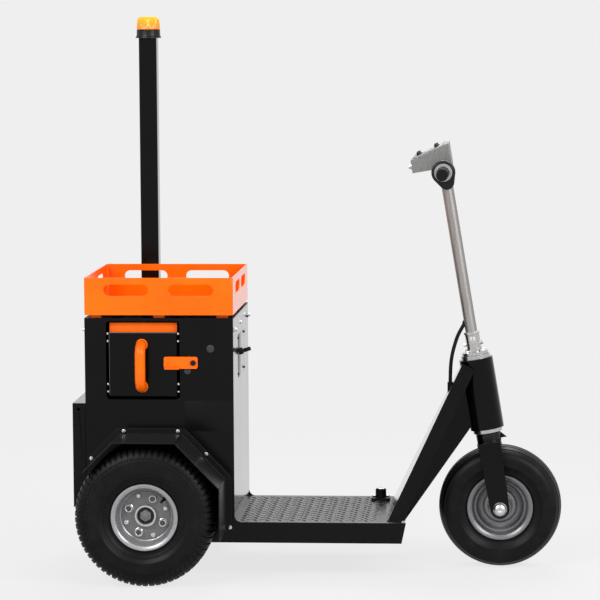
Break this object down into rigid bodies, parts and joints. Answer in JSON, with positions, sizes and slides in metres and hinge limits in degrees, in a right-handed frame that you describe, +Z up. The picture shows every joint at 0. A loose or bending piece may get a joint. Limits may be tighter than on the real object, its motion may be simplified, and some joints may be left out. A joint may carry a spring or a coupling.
{
  "type": "electric tow tractor",
  "caption": "Stand-on three-wheel electric tow tractor with an orange basket over a black battery body, a tread-plate deck, a raked steering column and a beacon mast.",
  "frame": {"origin": "on the floor, below the middle of the overall length and width", "axes": "+X forward, +Y to the driver's left, +Z up"},
  "size_m": [1.343, 0.762, 1.504],
  "materials": {
    "black_paint": "satin powder coat",
    "tread_plate": "embossed tread",
    "orange_paint": "satin powder coat",
    "bright_steel": "polished",
    "dark_cast": "as cast",
    "silver_rim": "silver paint",
    "tyre_rubber": "matte",
    "console_grey": "satin",
    "black_plastic": "moulded",
    "black_rubber": "moulded",
    "amber_lens": "clear amber"
  },
  "bodies": {
    "chassis": {"side_panel_right": "black_paint", "side_panel_left": "black_paint", "front_panel": "black_paint", "rear_panel": "black_paint", "top_panel": "black_paint", "rear_box": "black_paint", "mudguard_right": "black_paint", "mudguard_left": "black_paint", "battery_shelf": "black_paint", "battery_face": "black_paint", "mast": "black_paint", "mast_clamps": "black_paint", "neck": "black_paint", "keel": "black_paint", "head_tube": "black_paint", "deck_plate": "tread_plate", "basket": "orange_paint", "basket_feet": "orange_paint", "battery_case": "orange_paint", "battery_latch": "orange_paint", "battery_handle": "orange_paint", "head_bearings": "bright_steel", "tow_jaw": "bright_steel", "rear_axle": "bright_steel", "drive_motor": "dark_cast", "key_switch": "black_plastic", "foot_switch_base": "black_plastic", "beacon_base": "black_plastic", "foot_switch_button": "black_rubber", "cable": "black_rubber", "beacon_lens": "amber_lens"},
    "steering": {"fork_crown": "black_paint", "fork_stem": "bright_steel", "fork_leg_right": "black_paint", "fork_leg_left": "black_paint", "front_axle": "bright_steel", "stem_socket": "bright_steel", "steering_tube": "bright_steel", "handlebar": "bright_steel", "grips": "black_rubber", "throttle_pod": "black_plastic", "console": "console_grey"},
    "front_wheel": {"front_rim": "silver_rim", "front_tyre": "tyre_rubber"},
    "rear_wheel_right": {"rear_rim_right": "silver_rim", "rear_tyre_right": "tyre_rubber"},
    "rear_wheel_left": {"rear_rim_left": "silver_rim", "rear_tyre_left": "tyre_rubber"}
  },
  "joints": [
    {"name": "steering_turn", "type": "hinge", "parent": "chassis", "child": "steering", "pos_m": [0.5045, 0, 0.167], "axis": [-0.1623, 0, 0.9867], "range_deg": [-45, 45]},
    {"name": "front_wheel_spin", "type": "hinge", "parent": "steering", "child": "front_wheel", "pos_m": [0.5045, 0, 0.167], "axis": [0, 1, 0], "continuous": true},
    {"name": "rear_wheel_right_spin", "type": "hinge", "parent": "chassis", "child": "rear_wheel_right", "pos_m": [-0.4315, -0.3, 0.187], "axis": [0, 1, 0], "continuous": true},
    {"name": "rear_wheel_left_spin", "type": "hinge", "parent": "chassis", "child": "rear_wheel_left", "pos_m": [-0.4315, 0.3, 0.187], "axis": [0, 1, 0], "continuous": true}
  ]
}
